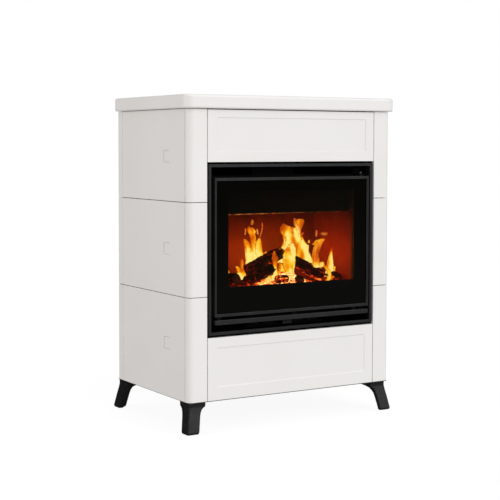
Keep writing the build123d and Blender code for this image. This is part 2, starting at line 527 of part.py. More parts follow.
fuel = [
    log((-96.5, -98.5, 502.5), (72, -70.5, 561.5), 22.5, seed=1),
    log((-134.3, -176, 479.4), (-8, -136, 511.6), 20, seed=2),
    log((109, -85, 530.5), (200.5, -142, 474), 22.5, seed=3),
    log((-183, -190, 490), (-205, -66, 480), 20.5, seed=4),
    log((236, -110, 484), (257, -162, 470.5), 14.5, seed=5),
    log((-20, -184, 481), (24, -185, 481), 14, seed=6),
    log((71.7, -190, 475.5), (95, -150, 470), 15, seed=7),
    log((-170, -86, 462), (-30, -64, 462), 18.5, seed=8),
    log((46, -108, 468), (58, -85, 522), 12, seed=9),
]
put("logs", *fuel)
heap = loft([Plane((32, -124, FB_Z0 + 15)) * Ellipse(140, 58), Plane((34, -124, FB_Z0 + 46)) * Ellipse(52, 20)])
bed = bx(-240, 250, -196, -6, FB_Z0, FB_Z0 + 15) + heap
for piece in fuel:
    bed = bed - piece
put("ember_bed", *[b for b in bed.solids() if b.volume > 500])

shift = Location((0, Y_SHIFT, 0))
for name, solids in PARTS.items():
    placed = [s.moved(shift) for s in solids]
    shape = placed[0] if len(placed) == 1 else Compound(children=placed)
    export_step(shape, f"parts/{name}.step")
print(len(PARTS), "nodes")
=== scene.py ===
"""Looks of a tiled wood stove: glazed ceramic cladding, black steel insert, burning logs. Units are metres."""
import json
import math
import random

import bpy
import bmesh
from mathutils import Matrix, Vector, noise


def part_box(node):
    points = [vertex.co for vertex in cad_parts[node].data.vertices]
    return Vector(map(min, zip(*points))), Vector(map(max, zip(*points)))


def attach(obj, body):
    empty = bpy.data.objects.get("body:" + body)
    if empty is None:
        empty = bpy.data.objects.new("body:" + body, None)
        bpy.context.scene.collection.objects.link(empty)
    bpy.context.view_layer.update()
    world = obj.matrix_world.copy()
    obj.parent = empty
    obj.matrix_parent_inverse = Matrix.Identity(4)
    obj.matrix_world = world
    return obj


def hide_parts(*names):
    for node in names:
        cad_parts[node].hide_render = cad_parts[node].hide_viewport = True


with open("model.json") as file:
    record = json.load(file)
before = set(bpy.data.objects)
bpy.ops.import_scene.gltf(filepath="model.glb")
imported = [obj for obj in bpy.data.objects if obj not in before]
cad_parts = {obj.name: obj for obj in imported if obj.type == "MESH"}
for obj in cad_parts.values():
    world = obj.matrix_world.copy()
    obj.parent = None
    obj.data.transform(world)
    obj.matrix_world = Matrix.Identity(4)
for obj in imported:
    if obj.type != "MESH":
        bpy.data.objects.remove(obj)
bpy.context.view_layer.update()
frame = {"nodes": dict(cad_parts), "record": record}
NODES = frame["nodes"]
rng = random.Random(7)


# ------------------------------------------------------------------ node helpers
class Mat:
    """A material and short ways to add nodes to it."""

    def __init__(self, name):
        self.m = bpy.data.materials.new(name)
        self.m.use_nodes = True
        self.t = self.m.node_tree
        self.t.nodes.clear()
        self.out = self.t.nodes.new("ShaderNodeOutputMaterial")
        self._co = None

    def put(self, sock, v):
        if isinstance(v, bpy.types.NodeSocket):
            self.t.links.new(v, sock)
        elif isinstance(v, (tuple, list)) and sock.type == "RGBA" and len(v) == 3:
            sock.default_value = (*v, 1.0)
        else:
            sock.default_value = v

    def node(self, kind, ins=None, **props):
        n = self.t.nodes.new("ShaderNode" + kind)
        for k, v in props.items():
            setattr(n, k, v)
        for k, v in (ins or {}).items():
            self.put(n.inputs[k], v)
        return n

    def co(self):
        if self._co is None:
            self._co = self.node("TexCoord").outputs["Object"]
        return self._co

    def scaled(self, sx, sy, sz, loc=(0, 0, 0), rot=(0, 0, 0), src=None):
        n = self.node("Mapping", {"Vector": src or self.co(), "Scale": (sx, sy, sz), "Location": loc, "Rotation": rot})
        return n.outputs["Vector"]

    def noise(self, scale, detail=3.0, rough=0.5, distort=0.0, src=None, which="Fac"):
        n = self.node("TexNoise", {"Vector": src or self.co(), "Scale": scale, "Detail": detail, "Roughness": rough,
                                   "Distortion": distort})
        return n.outputs[which]

    def voronoi(self, scale, feature="F1", which="Distance", src=None, rand=1.0):
        n = self.node("TexVoronoi", {"Vector": src or self.co(), "Scale": scale, "Randomness": rand}, feature=feature)
        return n.outputs[which]

    def math(self, op, a, b=None, c=None, clamp=False):
        n = self.node("Math", operation=op, use_clamp=clamp)
        for i, v in enumerate((a, b, c)):
            if v is not None:
                self.put(n.inputs[i], v)
        return n.outputs[0]

    def ramp(self, fac, stops, mode="LINEAR"):
        n = self.node("ValToRGB", {"Fac": fac})
        cr = n.color_ramp
        cr.interpolation = mode
        while len(cr.elements) < len(stops):
            cr.elements.new(0.5)
        for e, (p, c) in zip(cr.elements, stops):
            e.position = p
            e.color = (c, c, c, 1) if isinstance(c, (int, float)) else (*c, 1)
        return n.outputs["Color"]

    def remap(self, v, a, b, c, d, smooth=False):
        n = self.node("MapRange", {"Value": v, "From Min": a, "From Max": b, "To Min": c, "To Max": d},
                      interpolation_type="SMOOTHSTEP" if smooth else "LINEAR")
        return n.outputs["Result"]

    def mix(self, fac, a, b, blend="MIX"):
        n = self.node("Mix", data_type="RGBA", blend_type=blend, clamp_factor=True)
        self.put(n.inputs[0], fac)
        self.put(n.inputs[6], a)
        self.put(n.inputs[7], b)
        return n.outputs[2]

    def bump(self, height, strength, distance, normal=None):
        ins = {"Height": height, "Strength": strength, "Distance": distance}
        if normal is not None:
            ins["Normal"] = normal
        return self.node("Bump", ins).outputs["Normal"]

    def principled(self, **ins):
        n = self.node("BsdfPrincipled", {k.replace("_", " "): v for k, v in ins.items()})
        return n.outputs["BSDF"]

    def surface(self, shader):
        self.t.links.new(shader, self.out.inputs["Surface"])
        return self.m


# ------------------------------------------------------------------ materials
def make_glaze():
    a = Mat("white_glaze_satin")
    broad = a.noise(4.5, 3, 0.55)
    mid = a.noise(38, 4, 0.5)
    fine = a.noise(900, 2, 0.5)
    each = a.node("ObjectInfo").outputs["Random"]          # a slight difference from tile to tile
    tone = a.mix(a.remap(broad, 0.32, 0.68, 0, 1), GLAZE_A, GLAZE_B)
    tone = a.mix(a.remap(each, 0, 1, 0.0, 0.16), tone, GLAZE_C)
    speck = a.voronoi(160)
    pin = a.remap(speck, 0.035, 0.06, 1, 0)                 # rare pinholes in the glaze
    gate = a.remap(a.noise(23, 2, 0.5), 0.60, 0.66, 0, 1)
    pin = a.math("MULTIPLY", pin, gate)
    tone = a.mix(a.math("MULTIPLY", pin, 0.35), tone, (0.45, 0.41, 0.36))
    rough = a.remap(mid, 0.3, 0.7, 0.30, 0.40)
    n1 = a.bump(mid, 0.05, 0.004)
    n2 = a.bump(a.math("SUBTRACT", a.math("MULTIPLY", fine, 0.4), pin), 0.06, 0.0006, n1)
    bs = a.principled(Base_Color=tone, Roughness=rough, Normal=n2, Specular_IOR_Level=0.45, Coat_Weight=0.22, Coat_Roughness=0.12)
    return a.surface(bs)


def make_satin_black(name="black_satin_paint", lo=0.34, hi=0.46, base=(0.0125, 0.0125, 0.0131), base2=(0.0170, 0.0170, 0.0175),
                     painted_shade_above=None):
    a = Mat(name)
    grain = a.noise(1500, 2, 0.6)
    soft = a.noise(16, 4, 0.55)
    wipe = a.noise(1.0, 3, 0.6, src=a.scaled(9, 60, 60))
    tone = a.mix(a.remap(soft, 0.35, 0.65, 0, 1), base, base2)
    dust = a.remap(a.noise(420, 2, 0.7), 0.66, 0.74, 0, 0.10)
    tone = a.mix(dust, tone, (0.12, 0.115, 0.11))
    rough = a.remap(a.math("ADD", a.math("MULTIPLY", wipe, 0.5), a.math("MULTIPLY", grain, 0.5)), 0.3, 0.7, lo, hi)
    nrm = a.bump(grain, 0.10, 0.0005)
    nrm = a.bump(soft, 0.03, 0.004, nrm)
    spec = 0.42
    if painted_shade_above is not None:                              # painted shade: parts above this height turn near-black and barely glossy, standing in for the shadow in the slot above the bar
        z = a.node("SeparateXYZ", {"Vector": a.co()}).outputs["Z"]
        up = a.remap(z, painted_shade_above, painted_shade_above + 0.0006, 0, 1)
        tone = a.mix(up, tone, (0.0022, 0.0022, 0.0023))
        spec = a.remap(up, 0, 1, 0.42, 0.08)
    return a.surface(a.principled(Base_Color=tone, Roughness=rough, Normal=nrm, Specular_IOR_Level=spec))


def make_cast_iron():
    a = Mat("cast_iron_painted")
    pit = a.noise(520, 4, 0.65)
    wave = a.noise(55, 3, 0.5)
    tone = a.mix(a.remap(wave, 0.35, 0.65, 0, 1), (0.0080, 0.0080, 0.0084), (0.0150, 0.0147, 0.0147))
    worn = a.remap(a.noise(150, 4, 0.7), 0.62, 0.75, 0, 0.35)
    tone = a.mix(worn, tone, (0.065, 0.062, 0.06))
    rough = a.remap(pit, 0.3, 0.7, 0.40, 0.58)
    nrm = a.bump(pit, 0.30, 0.0009)
    nrm = a.bump(wave, 0.10, 0.004, nrm)
    return a.surface(a.principled(Base_Color=tone, Roughness=rough, Normal=nrm, Specular_IOR_Level=0.36))


def make_powder_coat():
    a = Mat("carcass_powder_coat")
    peel = a.noise(420, 3, 0.5)
    soft = a.noise(9, 3, 0.55)
    tone = a.mix(a.remap(soft, 0.35, 0.65, 0, 1), (0.085, 0.086, 0.090), (0.115, 0.115, 0.118))
    rough = a.remap(peel, 0.3, 0.7, 0.42, 0.58)
    nrm = a.bump(peel, 0.22, 0.0009)
    return a.surface(a.principled(Base_Color=tone, Roughness=rough, Normal=nrm))


def make_zinc():
    a = Mat("zinc_plated_steel")
    cell = a.voronoi(130, which="Color")
    lum = a.node("SeparateColor", {"Color": cell}).outputs["Red"]
    brush = a.noise(1.0, 3, 0.6, src=a.scaled(60, 900, 900))
    tone = a.mix(lum, (0.50, 0.50, 0.485), (0.68, 0.675, 0.655))
    stain = a.remap(a.noise(30, 4, 0.6), 0.55, 0.72, 0, 0.4)
    tone = a.mix(stain, tone, (0.42, 0.40, 0.37))
    rough = a.remap(a.math("ADD", a.math("MULTIPLY", lum, 0.5), a.math("MULTIPLY", brush, 0.5)), 0.2, 0.8, 0.26, 0.46)
    return a.surface(a.principled(Base_Color=tone, Metallic=1.0, Roughness=rough, Normal=a.bump(brush, 0.08, 0.0005)))


def make_firebox_steel():
    a = Mat("heat_stained_steel")
    big = a.noise(7, 4, 0.6)
    mid = a.noise(70, 4, 0.6)
    fine = a.noise(700, 3, 0.6)
    tone = a.ramp(big, [(0.25, (0.016, 0.014, 0.014)), (0.5, (0.030, 0.026, 0.024)), (0.68, (0.050, 0.034, 0.024)),
                        (0.85, (0.075, 0.062, 0.052))])
    ash = a.remap(mid, 0.58, 0.8, 0, 0.35)
    tone = a.mix(ash, tone, (0.16, 0.145, 0.13))
    xyz = a.node("SeparateXYZ", {"Vector": a.co()})
    outside = a.math("MAXIMUM", a.remap(xyz.outputs["Z"], 0.830, 0.8325, 0, 1), a.remap(xyz.outputs["Z"], 0.3805, 0.383, 1, 0))
    tone = a.mix(outside, tone, (0.0026, 0.0026, 0.0027))
    rough = a.remap(mid, 0.3, 0.7, 0.45, 0.75)
    nrm = a.bump(fine, 0.2, 0.0006)
    return a.surface(a.principled(Base_Color=tone, Roughness=rough, Normal=nrm, Specular_IOR_Level=a.remap(outside, 0, 1, 0.5, 0.04)))


def make_vermiculite():
    a = Mat("vermiculite_board")
    flake = a.node("SeparateColor", {"Color": a.voronoi(420, which="Color")}).outputs["Green"]
    edge = a.voronoi(420, feature="DISTANCE_TO_EDGE")
    broad = a.noise(10, 5, 0.6)
    xyz = a.node("SeparateXYZ", {"Vector": a.co()})
    x, y, z = xyz.outputs["X"], xyz.outputs["Y"], xyz.outputs["Z"]
    tone = a.mix(flake, (0.088, 0.026, 0.0042), (0.131, 0.040, 0.0062))
    # soot: thick at the top and at the joints, burnt clean and pale low in the middle
    streak = a.noise(1.0, 5, 0.6, src=a.scaled(34, 34, 3.2))
    soot = a.math("ADD", a.remap(z, 0.575, 0.72, -0.05, 1.0), a.math("MULTIPLY", a.math("SUBTRACT", streak, 0.5), 0.42))
    soot = a.math("ADD", soot, a.math("MULTIPLY", a.math("SUBTRACT", broad, 0.5), 0.7), clamp=True)
    # a few dark vertical lines on the rear board, left of the middle
    wander = a.math("MULTIPLY", a.math("SUBTRACT", a.noise(1.0, 2, 0.5, src=a.scaled(1, 1, 14)), 0.5), 0.004)
    for centre, width, depth in ((-0.077, 0.0030, 0.55), (-0.068, 0.0018, 0.30), (-0.058, 0.0026, 0.42), (-0.150, 0.0030, 0.25)):
        off = a.math("ABSOLUTE", a.math("SUBTRACT", a.math("ADD", x, wander), centre))
        line = a.math("MULTIPLY", a.remap(off, 0.0, width, depth, 0.0), a.remap(y, 0.010, 0.014, 0, 1))
        soot = a.math("ADD", soot, line, clamp=True)
    tone = a.mix(a.math("MULTIPLY", soot, 0.88), tone, (0.012, 0.0042, 0.0016))
    rough = a.remap(soot, 0, 1, 0.62, 0.85)
    nrm = a.bump(edge, 0.25, 0.0012)
    nrm = a.bump(broad, 0.12, 0.004, nrm)
    return a.surface(a.principled(Base_Color=tone, Roughness=rough, Normal=nrm, Specular_IOR_Level=0.03))


def make_rope():
    a = Mat("woven_glass_fibre")
    strand = a.noise(1600, 3, 0.7)
    broad = a.noise(24, 4, 0.6)
    tone = a.mix(a.remap(broad, 0.35, 0.65, 0, 1), (0.26, 0.25, 0.235), (0.42, 0.41, 0.39))
    tone = a.mix(a.remap(strand, 0.35, 0.65, 0, 0.5), tone, (0.14, 0.135, 0.13))
    return a.surface(a.principled(Base_Color=tone, Roughness=0.88, Normal=a.bump(strand, 0.5, 0.0006), Sheen_Weight=0.25))


def make_rubber():
    a = Mat("silicone_pad")
    fine = a.noise(800, 3, 0.6)
    tone = a.mix(a.remap(a.noise(60, 3), 0.35, 0.65, 0, 1), (0.035, 0.035, 0.035), (0.055, 0.055, 0.054))
    return a.surface(a.principled(Base_Color=tone, Roughness=a.remap(fine, 0.3, 0.7, 0.6, 0.8), Normal=a.bump(fine, 0.2, 0.0005)))


def make_glass():
    a = Mat("ceramic_glass_clear")
    smear = a.noise(1.0, 5, 0.6, src=a.scaled(7, 20, 3.2))
    rough = a.remap(smear, 0.35, 0.7, 0.02, 0.06)
    see = a.node("BsdfTransparent", {"Color": (0.90, 0.82, 0.64)}).outputs[0]
    gloss = a.node("BsdfGlossy", {"Color": (1, 1, 1), "Roughness": rough}).outputs[0]
    fres = a.node("Fresnel", {"IOR": 1.5}).outputs[0]
    mixed = a.node("MixShader", {0: fres, 1: see, 2: gloss})
    return a.surface(mixed.outputs[0])


def make_print():
    a = Mat("black_glass_print")
    dots = a.noise(900, 2, 0.5)
    z = a.node("SeparateXYZ", {"Vector": a.co()}).outputs["Z"]
    low = a.mix(a.remap(a.noise(6, 3), 0.35, 0.65, 0, 1), (0.0066, 0.0084, 0.0128), (0.0074, 0.0092, 0.0138))
    tone = a.mix(a.remap(z, 0.46, 0.74, 0, 1), low, (0.0020, 0.0023, 0.0026))     # the print is darker towards the top
    rough = a.remap(dots, 0.3, 0.7, 0.35, 0.5)
    return a.surface(a.principled(Base_Color=tone, Roughness=rough, Specular_IOR_Level=0.02, Normal=a.bump(dots, 0.05, 0.0002)))


def make_soot_black(name="bracket_black_painted_shade", lo=(0.0018, 0.0022, 0.0026), hi=(0.0034, 0.0036, 0.0040), rim=None):
    a = Mat(name)
    grain = a.noise(380, 4, 0.65)
    broad = a.noise(14, 4, 0.6)
    tone = a.mix(a.remap(broad, 0.35, 0.65, 0, 1), lo, hi)
    rough = a.remap(grain, 0.3, 0.7, 0.60, 0.82)
    painted_glint_emission = {}
    if rim is not None:                                     # painted glint: the thin lower rim gets an orange emission over the flames, standing in for firelight caught on its edge
        xyz = a.node("SeparateXYZ", {"Vector": a.co()})
        line = a.remap(xyz.outputs["Z"], rim + 0.0018, rim + 0.0032, 1, 0)
        run = a.remap(a.noise(1.0, 3, 0.6, src=a.scaled(26, 0, 0)), 0.40, 0.66, 0.10, 1.0)
        over = a.remap(xyz.outputs["X"], -0.240, 0.120, 1.0, 0.10)
        painted_glint_emission = {"Emission_Color": (1.0, 0.32, 0.10), "Emission_Strength": a.math("MULTIPLY", a.math("MULTIPLY", line, run), a.math("MULTIPLY", over, 1.30))}
    return a.surface(a.principled(Base_Color=tone, Roughness=rough, Specular_IOR_Level=0.06, Normal=a.bump(grain, 0.2, 0.0006), **painted_glint_emission))


def make_dark_pin():
    a = Mat("blackened_pin_steel")
    grain = a.noise(900, 3, 0.6)
    tone = a.mix(a.remap(grain, 0.35, 0.65, 0, 1), (0.060, 0.060, 0.061), (0.100, 0.099, 0.097))
    return a.surface(a.principled(Base_Color=tone, Metallic=0.3, Roughness=a.remap(grain, 0.3, 0.7, 0.30, 0.42),
                                  Normal=a.bump(grain, 0.08, 0.0003)))


def make_log():
    """Charred bark: black scales with brown wood between them, glowing in the cracks where 'heat' is high."""
    a = Mat("charred_log")
    crack = a.node("Attribute", attribute_name="crack").outputs["Fac"]
    heat = a.node("Attribute", attribute_name="glowing").outputs["Fac"]
    end = a.node("Attribute", attribute_name="endgrain").outputs["Fac"]
    fine = a.noise(260, 5, 0.65)
    mid = a.noise(46, 4, 0.6)
    tone = a.ramp(mid, [(0.30, (0.0022, 0.0014, 0.001)), (0.50, (0.0045, 0.0024, 0.0016)), (0.66, (0.011, 0.0052, 0.003)),
                        (0.8, (0.032, 0.015, 0.007))])
    ash = a.remap(a.noise(120, 5, 0.7), 0.64, 0.80, 0, 0.35)
    tone = a.mix(ash, tone, (0.055, 0.040, 0.032))
    tone = a.mix(a.math("MULTIPLY", end, 0.65), tone, a.mix(fine, (0.020, 0.010, 0.004), (0.065, 0.036, 0.014)))
    glow = a.math("MULTIPLY", crack, heat)
    glow = a.math("ADD", glow, a.math("MULTIPLY", a.remap(heat, 0.60, 1.0, 0, 1), a.remap(fine, 0.42, 0.62, 0, 1)), clamp=True)
    glow = a.math("MULTIPLY", glow, a.remap(mid, 0.38, 0.58, 0.15, 1.0))
    colour = a.ramp(glow, [(0.0, (0, 0, 0)), (0.18, (0.25, 0.006, 0.0)), (0.45, (0.9, 0.07, 0.004)), (0.75, (1.0, 0.26, 0.03)),
                           (1.0, (1.0, 0.62, 0.22))])
    rough = a.remap(fine, 0.3, 0.7, 0.55, 0.85)
    nrm = a.bump(fine, 0.55, 0.0016)
    sh = a.principled(Base_Color=tone, Roughness=rough, Normal=nrm, Specular_IOR_Level=0.15, Emission_Color=colour, Emission_Strength=LOG_GLOW)
    return a.surface(sh)


def make_ember():
    a = Mat("glowing_embers")
    heat = a.node("Attribute", attribute_name="glowing").outputs["Fac"]
    big = a.noise(34, 4, 0.6)
    mid = a.noise(150, 5, 0.7)
    edge = a.voronoi(120, feature="DISTANCE_TO_EDGE")
    seam = a.remap(edge, 0.02, 0.14, 1, 0)
    v = a.math("ADD", a.math("MULTIPLY", heat, 1.08), a.math("MULTIPLY", a.math("SUBTRACT", big, 0.5), 1.5))
    v = a.math("ADD", v, a.math("MULTIPLY", a.math("SUBTRACT", mid, 0.5), 0.8))
    v = a.math("ADD", v, a.math("MULTIPLY", seam, 0.14), clamp=True)
    colour = a.ramp(v, [(0.0, (0.0, 0.0, 0.0)), (0.22, (0.06, 0.002, 0.0)), (0.42, (0.55, 0.025, 0.002)), (0.58, (1.0, 0.15, 0.011)),
                        (0.74, (1.0, 0.46, 0.095)), (0.95, (1.0, 0.90, 0.48))])
    tone = a.ramp(mid, [(0.3, (0.010, 0.008, 0.007)), (0.55, (0.026, 0.019, 0.016)), (0.75, (0.13, 0.11, 0.095))])
    sh = a.principled(Base_Color=tone, Roughness=0.85, Normal=a.bump(mid, 0.5, 0.002), Emission_Color=colour, Emission_Strength=EMBER_GLOW)
    return a.surface(sh)


def make_flame():
    """Sheets of burning gas: hot yellow at the root, orange above, torn and clear at the edges and tips."""
    a = Mat("flame_gas")
    uv = a.node("UVMap", uv_map="flow").outputs["UV"]
    s = a.node("SeparateXYZ", {"Vector": uv})
    u = a.math("MULTIPLY_ADD", s.outputs["X"], 2.0, -1.0)
    t = s.outputs["Y"]
    cool = a.node("Attribute", attribute_name="cool").outputs["Fac"]
    flow = a.scaled(1.0, 0.25, 0.42)
    n1 = a.noise(54, 1, 0.40, 0.6, src=flow)
    n2 = a.noise(120, 2, 0.5, 0.4, src=flow)
    n3 = a.noise(34, 1, 0.30, 0.5, src=a.scaled(1.0, 0.25, 0.50, loc=(0.3, 0, 0)))
    shift = a.math("MULTIPLY", a.math("SUBTRACT", n1, 0.5), 0.80)
    shift = a.math("ADD", shift, a.math("MULTIPLY", a.math("SUBTRACT", n2, 0.5), 0.30))
    uu = a.math("ABSOLUTE", a.math("ADD", u, shift))
    e = a.math("SUBTRACT", a.remap(cool, 0.2, 0.8, 1.15, 0.90), uu)                      # wisps are thin
    body = a.remap(e, 0.0, 0.36, 0, 1, smooth=True)
    ttop = a.math("ADD", t, a.math("MULTIPLY", a.math("SUBTRACT", n1, 0.5), 0.30))
    fade_from = a.math("MULTIPLY_ADD", a.math("MINIMUM", cool, 0.0), 0.15, 0.84)      # the hottest tongues fade out early
    tip = a.remap(ttop, fade_from, 1.02, 1, 0, smooth=True)
    root = a.remap(t, 0.0, 0.08, 0, 1, smooth=True)
    thin = a.remap(n3, 0.34, 0.56, 0.62, 1.0, smooth=True)
    thin = a.math("MAXIMUM", thin, a.remap(t, 0.35, 0.9, 1.0, 0.3))
    alpha = a.math("MULTIPLY", a.math("MULTIPLY", body, tip), a.math("MULTIPLY", root, thin))
    alpha = a.math("MULTIPLY", alpha, a.remap(cool, 0, 1, 0.98, 0.20), clamp=True)
    c = a.remap(t, 0.0, 1.0, 1.04, 0.46)
    c = a.math("ADD", c, a.math("MULTIPLY", a.math("SUBTRACT", n3, 0.5), 2.6))
    rim = a.math("MULTIPLY", a.remap(e, 0.05, 0.50, 0.56, 0.0, smooth=True), a.remap(cool, -0.4, 0.0, 0.0, 1.0))
    c = a.math("SUBTRACT", c, rim)
    c = a.math("SUBTRACT", c, a.math("MULTIPLY", cool, 0.30), clamp=True)
    colour = a.ramp(c, [(0.0, (0.70, 0.120, 0.001)), (0.22, (0.86, 0.190, 0.001)), (0.42, (0.98, 0.290, 0.003)), (0.60, (1.0, 0.53, 0.014)),
                        (0.80, (1.0, 0.78, 0.070)), (1.0, (1.0, 1.00, 0.50))])
    colour = a.mix(a.math("MULTIPLY", cool, 0.75), colour, (0.85, 0.21, 0.055))
    colour = a.mix(1.0, colour, (0.98, 0.88, 0.72), blend="MULTIPLY")
    glow = a.remap(c, 0.0, 1.0, 0.80, 1.22)
    em = a.node("Emission", {"Color": colour, "Strength": a.math("MULTIPLY", glow, FLAME_GLOW)}).outputs[0]
    see = a.node("BsdfTransparent", {"Color": (1, 1, 1)}).outputs[0]
    return a.surface(a.node("MixShader", {0: alpha, 1: see, 2: em}).outputs[0])


GLAZE_A, GLAZE_B, GLAZE_C = (0.845, 0.825, 0.805), (0.87, 0.852, 0.835), (0.84, 0.815, 0.79)
LOG_GLOW, EMBER_GLOW, FLAME_GLOW = 1.5, 1.7, 1.22

GLAZE = make_glaze()
BLACK = make_satin_black()
IRON = make_cast_iron()
COAT = make_powder_coat()
ZINC = make_zinc()
STAINED = make_firebox_steel()
VERM = make_vermiculite()
ROPE = make_rope()
RUBBER = make_rubber()
GLASS = make_glass()
PRINT = make_print()
# near-black painted shade for the hinge brackets, which sit in the shadowed recess by the door
BRACKET_PAINTED_SHADE = make_soot_black()
BAR_TOP = 0.3677
PIN = make_dark_pin()
# the standoffs above the bar top carry painted shade for the dark slot
BAR = make_satin_black("handle_black_paint", painted_shade_above=BAR_TOP)
# the deflector's lower rim carries a painted glint of the flames
DEFLECT = make_soot_black("deflector_steel", rim=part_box("smoke_deflector")[0].z)
KNOB = make_satin_black("knob_grey_black", 0.36, 0.50, (0.0125, 0.0125, 0.0128), (0.0170, 0.0170, 0.0173))
HEATPAINT = make_soot_black("stove_paint_matt", (0.0095, 0.0095, 0.0098), (0.0150, 0.0148, 0.0150))
MATT = make_soot_black("matt_black_inside", (0.0040, 0.0040, 0.0042), (0.0065, 0.0064, 0.0064))
LOG = make_log()
EMBER = make_ember()
FLAME = make_flame()

SLOT_MATERIAL = {
    "white_glaze": GLAZE, "black_satin_steel": BLACK, "carcass_steel": COAT, "zinc_steel": ZINC, "cast_iron_black": IRON,
    "stove_glass": GLASS, "firebox_steel": STAINED, "vermiculite": VERM, "glass_rope": ROPE, "silicone": RUBBER,
    "charred_wood": LOG, "embers": EMBER,
}
SLOT_OF = {s["node"]: s["material_slot"] for s in frame["record"]["subparts"]}
for name, obj in NODES.items():
    for ms in obj.material_slots:
        ms.material = SLOT_MATERIAL[SLOT_OF[name]]
# hinge_brackets take near-black painted shade for their shadowed recess
for name, material in (("smoke_deflector", DEFLECT), ("handle_bar", BAR), ("hinge_brackets", BRACKET_PAINTED_SHADE), ("hinge_pins", PIN), ("insert_casing", MATT),
                       ("flue_box", HEATPAINT), ("flue_collar", HEATPAINT), ("air_slide", HEATPAINT), ("air_box", MATT), ("air_knob", KNOB)):
    for ms in NODES[name].material_slots:
        ms.material = material


# ------------------------------------------------------------------ mesh helpers
def new_object(name, verts, faces, material, body="stove", smooth=True, floats=None, uvs=None):
    me = bpy.data.meshes.new(name)
    me.from_pydata(verts, [], faces)
    me.validate()
    if smooth:
        me.polygons.foreach_set("use_smooth", [True] * len(me.polygons))
    for key, values in (floats or {}).items():
        at = me.attributes.new(key, "FLOAT", "POINT")
        at.data.foreach_set("value", values)
    if uvs is not None:
        layer = me.uv_layers.new(name="flow")
        for loop in me.loops:
            layer.data[loop.index].uv = uvs[loop.vertex_index]
    me.update()
    ob = bpy.data.objects.new(name, me)
    bpy.context.scene.collection.objects.link(ob)
    me.materials.append(material)
    if body:
        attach(ob, body)
    return ob


def smoothstep(a, b, x):
    t = min(max((x - a) / (b - a), 0.0), 1.0)
    return t * t * (3 - 2 * t)


def n3(x, y, z, s=1.0):
    return noise.noise(Vector((x * s, y * s, z * s)))


# ------------------------------------------------------------------ logs
def build_log(name, p0, p1, r, seed, heat=0.5, taper=0.0, bend=0.0, flat=0.0, bark=1.0, step=0.0021):
    """A round or split log with a scaly burnt surface. heat sets how much the cracks glow."""
    a, b = Vector(p0), Vector(p1)
    d = b - a
    length = d.length
    w = d.normalized()
    side = w.cross(Vector((0, 0, 1)))
    if side.length < 1e-3:
        side = w.cross(Vector((0, 1, 0)))
    side.normalize()
    up = side.cross(w)
    if up.z < 0:
        side, up = -side, -up
    nl = max(12, int(length / step))
    na = max(28, int(2 * math.pi * r / step))
    verts, crack, hot, endg = [], [], [], []
    off = seed * 3.71

    def ring(s, shrink, endgrain):
        x = s * length
        centre = a + w * x + up * (bend * math.sin(math.pi * s) * r) + side * (0.4 * bend * math.sin(2.1 * math.pi * s + seed) * r)
        for j in range(na):
            th = 2 * math.pi * j / na
            ct, st = math.cos(th), math.sin(th)
            rr = r * (1 - taper * s)
            rr *= 1 + 0.10 * noise.noise(Vector((ct * 1.1 + off, st * 1.1, x * 9)))
            if flat:
                k = max(0.0, ct * math.cos(seed * 1.3) + st * math.sin(seed * 1.3))
                rr *= 1 - flat * k ** 3
            q = Vector((x * 34 + off, ct * r * 58, st * r * 58))
            dist = noise.voronoi(q)[0]
            gap = dist[1] - dist[0]
            c = 1 - smoothstep(0.0, 0.20, gap)
            fib = noise.noise(Vector((x * 30 + off, ct * r * 420, st * r * 420)))
            lump = noise.fractal(Vector((x * 60 + off, ct * r * 70, st * r * 70)), 0.8, 2.0, 4)
            h = bark * (0.0011 * lump + 0.0006 * fib - 0.0026 * c)
            if endgrain:
                h = 0.0
            rad = (rr + h) * shrink
            verts.append(centre + side * (rad * ct) + up * (rad * st))
            crack.append(c if not endgrain else 0.35 * (0.5 + 0.5 * noise.noise(Vector((ct * 9 * shrink + off, st * 9 * shrink, 1.7)))))
            z = verts[-1].z
            low = smoothstep(0.500, 0.462, z)
            under = smoothstep(0.2, -0.8, st)
            var = 0.12 + 1.15 * smoothstep(-0.05, 0.45, noise.noise(Vector((x * 21 + off, ct * 1.7, st * 1.7))))
            hot.append(min(1.0, max(0.0, heat * (0.16 + 1.0 * low + 0.55 * under) * var)))
            endg.append(1.0 if endgrain else 0.0)

    faces = []
    rings = []

    def add(s, shrink, endgrain):
        rings.append(len(verts))
        ring(s, shrink, endgrain)

    for k in (0.35, 0.7, 0.92):
        add(0.0 + 0.006 * math.sin(k * 9 + seed), k, True)
    for i in range(nl + 1):
        s = i / nl
        edge = 1 - 0.10 * (1 - smoothstep(0, 0.035, s)) - 0.10 * (1 - smoothstep(0, 0.035, 1 - s))
        add(s, edge, False)
    for k in (0.92, 0.7, 0.35):
        add(1.0 - 0.006 * math.sin(k * 9 + seed), k, True)
    for i in range(len(rings) - 1):
        r0, r1 = rings[i], rings[i + 1]
        for j in range(na):
            k = (j + 1) % na
            faces.append((r0 + j, r0 + k, r1 + k, r1 + j))
    for first, flip in ((rings[0], False), (rings[-1], True)):
        c = len(verts)
        mean = Vector((0, 0, 0))
        for j in range(na):
            mean += verts[first + j]
        verts.append(mean / na)
        crack.append(0.3)
        hot.append(hot[first])
        endg.append(1.0)
        for j in range(na):
            k = (j + 1) % na
            faces.append((c, first + j, first + k) if flip else (c, first + k, first + j))
    me_ob = new_object(name, verts, faces, LOG, floats={"crack": crack, "glowing": hot, "endgrain": endg})
    fix_normals(me_ob)
    return me_ob


def fix_normals(ob):
    bm = bmesh.new()
    bm.from_mesh(ob.data)
    bmesh.ops.recalc_face_normals(bm, faces=bm.faces)
    bm.to_mesh(ob.data)
    bm.free()
    ob.data.update()


